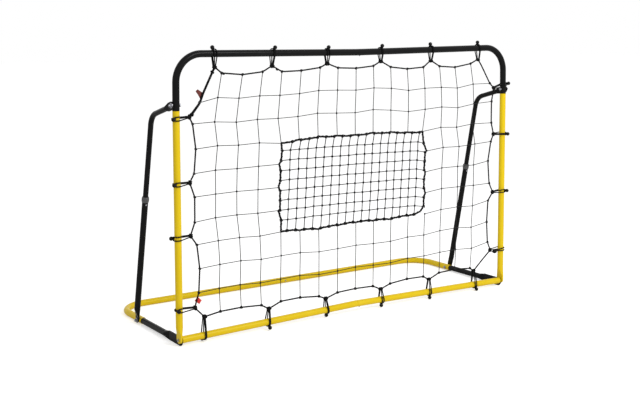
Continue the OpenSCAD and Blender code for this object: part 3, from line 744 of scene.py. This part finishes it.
def windingPath(route, holdRadius, pitch):
    # A cord that spirals round the rope's own route
    route = np.array(rounded(route, rope["bend"] / 2, rope["windStep"], closed=True))
    ahead = np.roll(route, -1, 0) - np.roll(route, 1, 0)
    ahead /= np.linalg.norm(ahead, axis=1)[:, None]
    front = np.array((0.0, -1.0, 0.0))
    across = np.cross(ahead, front)
    gone = np.cumsum(np.linalg.norm(np.roll(route, -1, 0) - route, axis=1))
    turn = gone * math.tau * round(gone[-1] / pitch) / gone[-1]
    return route + (front * np.cos(turn)[:, None] + across * np.sin(turn)[:, None]) * holdRadius


def nearestOn(route, place):
    return int(np.argmin([np.linalg.norm(p - place) for p in route]))


def ropeDirection(route, place):
    nearest = nearestOn(route, place)
    return route[(nearest + 1) % len(route)] - route[nearest - 1]


def tiedNet(routes, knotPlaces, hitchPlaces, held, heldRadius, look):
    # Strands, a knot at every crossing, and a hitch wherever a strand ends on the held rope
    mesh = PieceMesh()
    for route in routes:
        mesh.addTube(rounded(route, look["bend"], net["step"]), look["cordRadius"])
    for place in knotPlaces:
        mesh.addTube(knotPath(place, look["knotRadius"], dice.uniform(0, math.tau)),
                     look["cordRadius"] * knots["thin"], knots["sides"], closed=True)
    for place in hitchPlaces:
        mesh.addTube(hitchPath(place, ropeDirection(held, place),
                               heldRadius + look["cordRadius"] * look["bed"], look["cordRadius"]),
                     look["cordRadius"], knots["sides"])
    return mesh


edge = edgeRoute()
border = borderRoute()
laid = dict(lobes=rope["strands"], pitch=rope["pitch"])

inTarget = range(-side + 1, side)
freeCrossings = [place for (row, strand), place in crossings.items()
                 if 0 < row < net["topRow"] and not (low < row < high and strand in inTarget)]
tiedToEdge = ([crossings[row, s] for row in (0, net["topRow"]) for s in allStrands]
              + list(leftEnd.values()) + list(rightEnd.values()))
mainNet = tiedNet(strandRoutes(), freeCrossings, tiedToEdge, edge, rope["radius"], net)
mainNet.build("main_net", materials["netTwine"], "net_cord", "front_frame",
              ["net_top_band", "net_bottom_band", "net_left_band", "net_right_band"])

tiedToBorder = [place for ties in (topTies, bottomTies, leftTies, rightTies)
                for place in ties.values()]
fineNet = tiedNet(fineRoutes(), fineCrossings.values(), tiedToBorder, border,
                  rope["borderRadius"], fine)
fineNet.build("target_panel_net", materials["panelTwine"], "net_cord", "front_frame",
              ["target_net"])

edgeMesh = PieceMesh()
edgeMesh.addTube(rounded(edge, rope["bend"], rope["step"], closed=True), rope["radius"],
                 rope["sides"], closed=True, **laid)
second = [netPoint(*p) + np.array(rope["beside"]) for p in rope["overlap"]]
edgeMesh.addTube(rounded(second, rope["bend"], rope["step"]),
                 rope["radius"] * rope["secondRadius"], rope["sides"], **laid)
for place, beyond in ((second[0], second[1]), (second[3], second[2])):
    whipped = (place * (1 - rope["whipShare"]) + beyond * rope["whipShare"]
               - np.array(rope["whipMiddle"]))
    edgeMesh.addTube(hitchPath(whipped, beyond - place, rope["radius"] * rope["whipRadius"],
                               net["cordRadius"]), net["cordRadius"])
edgeMesh.addTube(knotPath(netPoint(*rope["lump"]), rope["radius"] * rope["lumpSize"],
                          rope["lumpTurn"]), rope["radius"] * rope["lumpCord"], closed=True)
edgeMesh.build("laid_edge_rope", materials["ropeSheath"], "edge_rope", "front_frame",
               ["edge_rope"])

borderMesh = PieceMesh()
borderMesh.addTube(rounded(border, rope["bend"] / 2, rope["step"], closed=True),
                   rope["borderRadius"], rope["sides"], closed=True, **laid)
borderMesh.addTube(windingPath(border, rope["borderRadius"], rope["windPitch"]),
                   rope["windRadius"], closed=True)
borderMesh.build("laid_border_rope", materials["ropeSheath"], "edge_rope", "front_frame",
                 ["target_border"])
print("net, edge rope and border tied")


tubeRadius = (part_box("post_right")[1].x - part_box("post_right")[0].x) / 2
postX = middleOf("post_right").x
# Height of a bar's axis at its middle, and its slope from there towards the posts
topMidZ, topSlope = 1.207, 8 / 790
bottomMidZ, bottomSlope = 0.044, 17 / 895.1

loops = dict(
    cordRadius=0.0026,
    skin=0.0001,           # between the cord and the tube
    twin=0.0024,           # half the distance between the two cords of a pair
    pinch=0.7,             # of that distance at the ball's neck
    neckReach=0.0046,      # from the neck's middle to the cord round it
    neckStart=0.72,        # where the cord leaves the neck, as a share of ballRing
    turnsApart=0.0050,     # from a loop's bend round the rope to the turns beside it
    turnRadius=0.95,       # of the cord in those turns, in cord radii
    turnPitch=0.5,         # along the rope, in cord radii
    turnSides=7,
    neckRadius=0.8,        # of the cord round the neck, in cord radii
    # Degrees from the ball to where the pairs lie down on the tube, and to their tuck under it
    lieDown=(8, 20),
    tuck=(10, 12),
    tuckRise=0.6,          # in cord radii
    tuckSplay=0.9,
    step=0.002,
    sides=8,
    ballRadius=0.009,
    ballRing=0.0284,       # from the tube's axis to a ball's middle
    # Each ball's slide along its tube and turn round it in degrees, the side on which its cord
    # runs tight to the rope, and half the gap between the cords on the tube
    top=dict(slide=[-0.0015, 0.005, -0.0015, 0.0005, 0.0035, -0.0015],
             turn=[-26, 31, 33, 23, -20, -4], tight=[-1, 1, -1, 1, 1, 1], splay=0.0060),
    bottom=dict(slide=[-0.002, -0.0045, 0.005, 0.003, -0.001, 0.0035],
                turn=[-47, 40, -14, 1, 22, 45], tight=[1, 1, 1, -1, -1, -1], splay=0.0054),
    left=dict(slide=[0.0015, -0.0035, -0.002, -0.005], turn=[63, -36, 40, 42],
              tight=[-1, -1, -1, -1], splay=0.0078),
    right=dict(slide=[0, 0.003, -0.001, 0.016], turn=[0, 55, 55, 40], tight=[-1, -1, 1, -1],
               splay=0.0066, onLegs=0),
    # The ball that hangs on its loop's legs, and the cord's points beside it
    legBall=(-0.045, 0.003, -0.009),
    legOut=[(0.003, 0.001, 1, 0.7), (0.016, 0.004, 0.6, 1)],     # out, front, drop, share of twin
    legBack=[(-0.004, 0.002, 1.1), (0.010, 0.003, 0.8)],         # out, front, share of splay
    legSplay=0.9,
    legDrop=0.2,
)
ballShape = dict(
    neck=[(0.0012, 0.0022), (0.0030, 0.0021), (0.0031, 0.0004)],       # radius, below the ball
    rings=15,
    firstRing=-68,
    ringStep=10,
    seamRing=7,
    seamSwell=1.012,
    dimple=[(0.0022, 0.955), (0.0014, 0.90), (0.0004, 0.885)],         # radius, share of height
    neckTurns=1.7,
    neckSteps=40,
    neckRise=0.0016,
)


# Loop frame: local Z along the tube, local X outwards from the net, local Y to the front
def loopFrame(origin, outward, alongTube, reach, slide):
    front = Vector((0, -1, 0))
    turn = Matrix((outward, front, alongTube)).transposed().to_4x4()
    tip = Matrix.Rotation(-math.atan2(slide, reach), 4, "Y")
    return Matrix.Translation(origin) @ turn @ Matrix.Translation((0, 0, slide)) @ tip


def barFrames(places, midZ, slope, outSign, slides):
    for (x, height), slide in zip(places, slides):
        rise = slope if x > 0 else -slope
        along = Vector((1, 0, rise * outSign)).normalized()
        outward = Vector((-along.z, 0, along.x)) * outSign
        centreZ = midZ + abs(x) * slope * outSign
        reach = (centreZ - pivotZ - height) * outSign
        yield loopFrame(Vector((x, netY, centreZ)), outward, along, reach, slide), reach, slide


def postFrames(places, slides):
    for (x, height), slide in zip(places, slides):
        sign = 1 if x > 0 else -1
        reach = postX - abs(x)
        origin = Vector((sign * postX, netY, pivotZ + height))
        yield loopFrame(origin, Vector((sign, 0, 0)), Vector((0, 0, 1)), reach, slide), reach, slide


def arcPoints(start, end, radius, offsets, spacing=8):
    count = max(2, int(abs(end - start) / spacing))
    for k in range(count + 1):
        t = k / count
        angle = math.radians(start + (end - start) * t)
        yield (radius * math.cos(angle), radius * math.sin(angle), offsets(t))


def roundRope(reach, first, offset):
    # Round the rope, from the side that first names to the other one
    wrap = rope["radius"] + loops["cordRadius"]
    return [(-reach, first * wrap, offset), (-reach - wrap, 0, offset),
            (-reach, -first * wrap, offset)]


def wholeLoop(reach, slide, turn, tight, splay):
    # From the ball down the tight side, round the rope, back up the other side and over the ball
    c = loops
    radius = tubeRadius + c["cordRadius"] + c["skin"]
    slant = math.hypot(reach, slide)
    touch = 180 - math.degrees(math.acos(radius / slant))
    neck = c["ballRing"] * c["neckStart"]
    near, far = c["lieDown"]
    before, after = c["tuck"]
    path = []
    for half in (1, -1):
        twin = half * c["twin"]
        cord = [(neck * math.cos(math.radians(turn)), neck * math.sin(math.radians(turn)),
                 twin * c["pinch"])]
        cord += arcPoints(turn + tight * near, tight * touch, radius, lambda t: twin)
        cord += roundRope(slant, tight, twin)
        cord += arcPoints(-tight * touch, turn - tight * far, radius, lambda t: half * splay)
        cord += arcPoints(turn - tight * before, turn + tight * after,
                          radius + c["cordRadius"] * c["tuckRise"],
                          lambda t: half * splay * math.sqrt(1 - t * t) * c["tuckSplay"])
        path.append(cord)
    return path[0] + path[1][::-1][1:]


def legLoop(reach, ball, splay):
    # The ball hangs on the legs: both pairs go round the tube and come back to it
    c = loops
    radius = tubeRadius + c["cordRadius"] + c["skin"]
    touch = 180 - math.degrees(math.acos(radius / reach))
    aside, front, along = ball
    path = []
    for half in (1, -1):
        twin, wide = half * c["twin"], half * splay
        cord = [(aside + x, front + y, along * drop + twin * share)
                for x, y, drop, share in c["legOut"]]
        cord += arcPoints(touch, -touch, radius,
                          lambda t: wide * c["legSplay"] + along * c["legDrop"] * (1 - t))
        cord += roundRope(reach, -1, twin)
        cord += [(aside + x, front + y, along + wide * share) for x, y, share in c["legBack"]]
        path.append(cord)
    return path[0] + path[1][::-1]


def ballProfile():
    # Neck, moulded ball with a raised seam, and the dimple at its far pole
    r, c = loops["ballRadius"], ballShape
    profile = [(radius, -r - below) for radius, below in c["neck"]]
    for k in range(c["rings"]):
        angle = math.radians(c["firstRing"] + k * c["ringStep"])
        swell = c["seamSwell"] if k == c["seamRing"] else 1
        profile.append((r * math.cos(angle) * swell, r * math.sin(angle)))
    return profile + [(radius, r * share) for radius, share in c["dimple"]]


def neckTurns():
    # The cord's turns round the ball's neck
    steps, reach = ballShape["neckSteps"], loops["neckReach"]
    foot = -loops["ballRadius"] - ballShape["neck"][0][1]
    for k in range(steps + 1):
        angle = k / steps * ballShape["neckTurns"] * math.tau
        yield (reach * math.cos(angle), reach * math.sin(angle),
               foot + ballShape["neckRise"] * k / steps)


def ropeTurns(cords, knot):
    # The cord's turns round the rope, on either side of the loop's own bend
    c = loops
    place = netPoint(*knot)
    nearest = nearestOn(edge, place)
    for on in (1, -1):
        ahead = edge[(nearest + on) % len(edge)] - place
        ahead /= np.linalg.norm(ahead)
        turns = hitchPath(place + ahead * c["turnsApart"], ahead,
                          rope["radius"] + c["cordRadius"], c["cordRadius"] * c["turnPitch"])
        cords.addTube(turns, c["cordRadius"] * c["turnRadius"], c["turnSides"])


def smoothRoute(points, spacing):
    # Catmull-Rom curve through the points, evenly stepped
    points = [np.array(p, float) for p in points]
    padded = [2 * points[0] - points[1]] + points + [2 * points[-1] - points[-2]]
    out = []
    for a, b, c, d in zip(padded, padded[1:], padded[2:], padded[3:]):
        parts = max(1, int(math.ceil(np.linalg.norm(c - b) / spacing)))
        for k in range(parts):
            t = k / parts
            out.append(0.5 * (2 * b + (c - a) * t + (2 * a - 5 * b + 4 * c - d) * t * t
                              + (3 * b - a - 3 * c + d) * t ** 3))
    out.append(points[-1])
    return out


def hangLoops(sideName, frames):
    setting = loops[sideName]
    cords, balls = PieceMesh(), PieceMesh()
    for knot in rope[sideName + "Knots"]:
        ropeTurns(cords, knot)
    for i, (place, reach, slide) in enumerate(frames):
        turn, tight = setting["turn"][i], setting["tight"][i]
        if setting.get("onLegs") == i:
            route = legLoop(reach, loops["legBall"], setting["splay"])
            ball = (place @ Matrix.Translation(loops["legBall"])
                    @ Matrix.Rotation(math.radians(-90), 4, "Y"))
        else:
            route = wholeLoop(reach, slide, turn, tight, setting["splay"])
            ball = (place @ Matrix.Rotation(math.radians(turn), 4, "Z")
                    @ Matrix.Translation((loops["ballRing"], 0, 0))
                    @ Matrix.Rotation(math.radians(90), 4, "Y"))
        cords.addTube([ball @ Vector(p) for p in neckTurns()],
                      loops["cordRadius"] * loops["neckRadius"], loops["sides"])
        world = [place @ Vector(p) for p in route]
        cords.addTube(smoothRoute(world, loops["step"]), loops["cordRadius"], loops["sides"])
        balls.addTurned(ballProfile(), ball)
    cords.build("elastic_" + sideName, materials["elasticSheath"], "elastic", "front_frame",
                ["loops_" + sideName])
    balls.build("ball_set_" + sideName, materials["ballPlastic"], "ball_plastic", "front_frame",
                ["balls_" + sideName])


hangLoops("top", barFrames(rope["topKnots"], topMidZ, topSlope, 1, loops["top"]["slide"]))
hangLoops("bottom", barFrames(rope["bottomKnots"], bottomMidZ, bottomSlope, -1,
                              loops["bottom"]["slide"]))
hangLoops("left", postFrames(rope["leftKnots"], loops["left"]["slide"]))
hangLoops("right", postFrames(rope["rightKnots"], loops["right"]["slide"]))
print("elastic loops and balls hung")


tags = dict(
    ply=0.0005,
    gap=0.0004,
    fold=0.0011,
    foldReach=0.008,       # where the two halves have closed on each other
    steps=14,
    foldSteps=8,
    columns=7,
    ripple=(3, 2.4),       # along and across
    # The upper tag's cloth is the red darkened as painted shade
    tabs=[dict(name="tag_upper", start=(-0.784, 1.014), lean=136, length=0.034, width=0.027,
               tip=0.42, curl=0.003, cloth="deepRedCloth", replaced=["net_tags"]),
          dict(name="tag_lower", start=(-0.823, 0.162), lean=-40, length=0.026, width=0.022,
               tip=0.85, curl=0.0008, cloth="redCloth", replaced=[])],
)


def tagProfile(length):
    # How far from the fold, how far to the front, and the share of the length
    c = tags
    half = []
    for k in range(c["steps"] + 1):
        t = k / c["steps"]
        apart = max(0, 1 - t * length / c["foldReach"]) ** 2
        half.append((t * length, c["gap"] + (c["fold"] - c["gap"]) * apart, t))
    bend = [math.pi * k / c["foldSteps"] for k in range(1, c["foldSteps"])]
    return (half[::-1] + [(-c["fold"] * math.sin(a), c["fold"] * math.cos(a), 0) for a in bend]
            + [(run, -front, t) for run, front, t in half])


def makeTag(tab):
    # A strip folded in half and sewn by its fold to the back of the rope
    lean = math.radians(tab["lean"])
    along = np.array((math.cos(lean), 0, math.sin(lean)))
    across = np.array((-math.sin(lean), 0, math.cos(lean)))
    start = netPoint(*tab["start"]) + np.array((0, rope["radius"] + tags["fold"], 0))
    slow, fast = tags["ripple"]
    last = tags["columns"] - 1
    grid = []
    for run, front, t in tagProfile(tab["length"]):
        row = []
        for j in range(tags["columns"]):
            s = j / last - 0.5
            wave = tab["curl"] * t * (math.sin(slow * t + fast * s) + s)
            reach = s * tab["width"] * (1 - (1 - tab["tip"]) * t)
            row.append(start + along * run + across * reach + np.array((0, -front - wave, 0)))
        grid.append(row)
    grid = np.array(grid)
    middle = grid[:, last // 2]
    gone = np.concatenate(([0], np.cumsum(np.linalg.norm(np.diff(middle, axis=0), axis=1))))
    strip = PieceMesh()
    strip.addGrid(grid, (np.linspace(0, tab["width"], tags["columns"] + 1), gone), False)
    piece = strip.build(tab["name"], materials[tab["cloth"]], "red_cloth", "front_frame",
                        tab["replaced"])
    thicken = piece.modifiers.new("ply", "SOLIDIFY")
    thicken.thickness = tags["ply"]
    thicken.offset = 0


for tab in tags["tabs"]:
    makeTag(tab)
print("cloth tags sewn to the rope")


stage = dict(
    floorSize=60.0,
    floorDrop=0.0002,
    floorColours=[(0.93, 0.93, 0.93, 1), (0.92, 0.92, 0.92, 1)],
    floorPatches=1.5,
    floorRoughness=0.9,
    floorMirror=0.1,
    floorGlow=0.50,
    worldLevel=0.57,
    keyPower=84,
    keySize=1.6,
    keyPlace=(0.7, -3.6, 2.9),
    keyAim=(0.1, 0, 0.3),
)


def makeFloor():
    half = stage["floorSize"] / 2
    mesh = bpy.data.meshes.new("floor")
    mesh.from_pydata([(-half, -half, 0), (half, -half, 0), (half, half, 0), (-half, half, 0)], [],
                     [(0, 1, 2, 3)])
    floor = bpy.data.objects.new("floor", mesh)
    floor.location.z = -stage["floorDrop"]
    bpy.context.collection.objects.link(floor)
    material, tree, shader = newMaterial("paleFloor")
    soft = noiseAt(tree, stage["floorPatches"], 2.0)
    feed(tree, shader.inputs["Base Color"], mixColour(tree, soft, *stage["floorColours"]))
    shader.inputs["Roughness"].default_value = stage["floorRoughness"]
    shader.inputs["Specular IOR Level"].default_value = stage["floorMirror"]
    shader.inputs["Emission Color"].default_value = (1, 1, 1, 1)
    seen = addNode(tree, "ShaderNodeLightPath")
    feed(tree, shader.inputs["Emission Strength"],
         calc(tree, "MULTIPLY", seen.outputs["Is Camera Ray"], stage["floorGlow"]))
    mesh.materials.append(material)


def makeLight():
    world = bpy.data.worlds.new("studio")
    bpy.context.scene.world = world
    world.use_nodes = True
    tree = world.node_tree
    sky = tree.nodes["Background"]
    path = addNode(tree, "ShaderNodeLightPath")
    direct = calc(tree, "MAXIMUM", path.outputs["Is Camera Ray"], path.outputs["Is Glossy Ray"])
    feed(tree, sky.inputs["Color"], (1, 1, 1, 1))
    feed(tree, sky.inputs["Strength"], spread(tree, direct, stage["worldLevel"], 1.0))
    key = bpy.data.lights.new("key", "AREA")
    key.energy = stage["keyPower"]
    key.size = stage["keySize"]
    holder = bpy.data.objects.new("key", key)
    holder.location = stage["keyPlace"]
    holder.rotation_mode = "QUATERNION"
    towardsKey = Vector(stage["keyPlace"]) - Vector(stage["keyAim"])
    holder.rotation_quaternion = towardsKey.to_track_quat("Z", "Y")
    bpy.context.collection.objects.link(holder)


makeFloor()
makeLight()
bpy.context.scene.view_settings.view_transform = "Standard"
print("floor and light set")
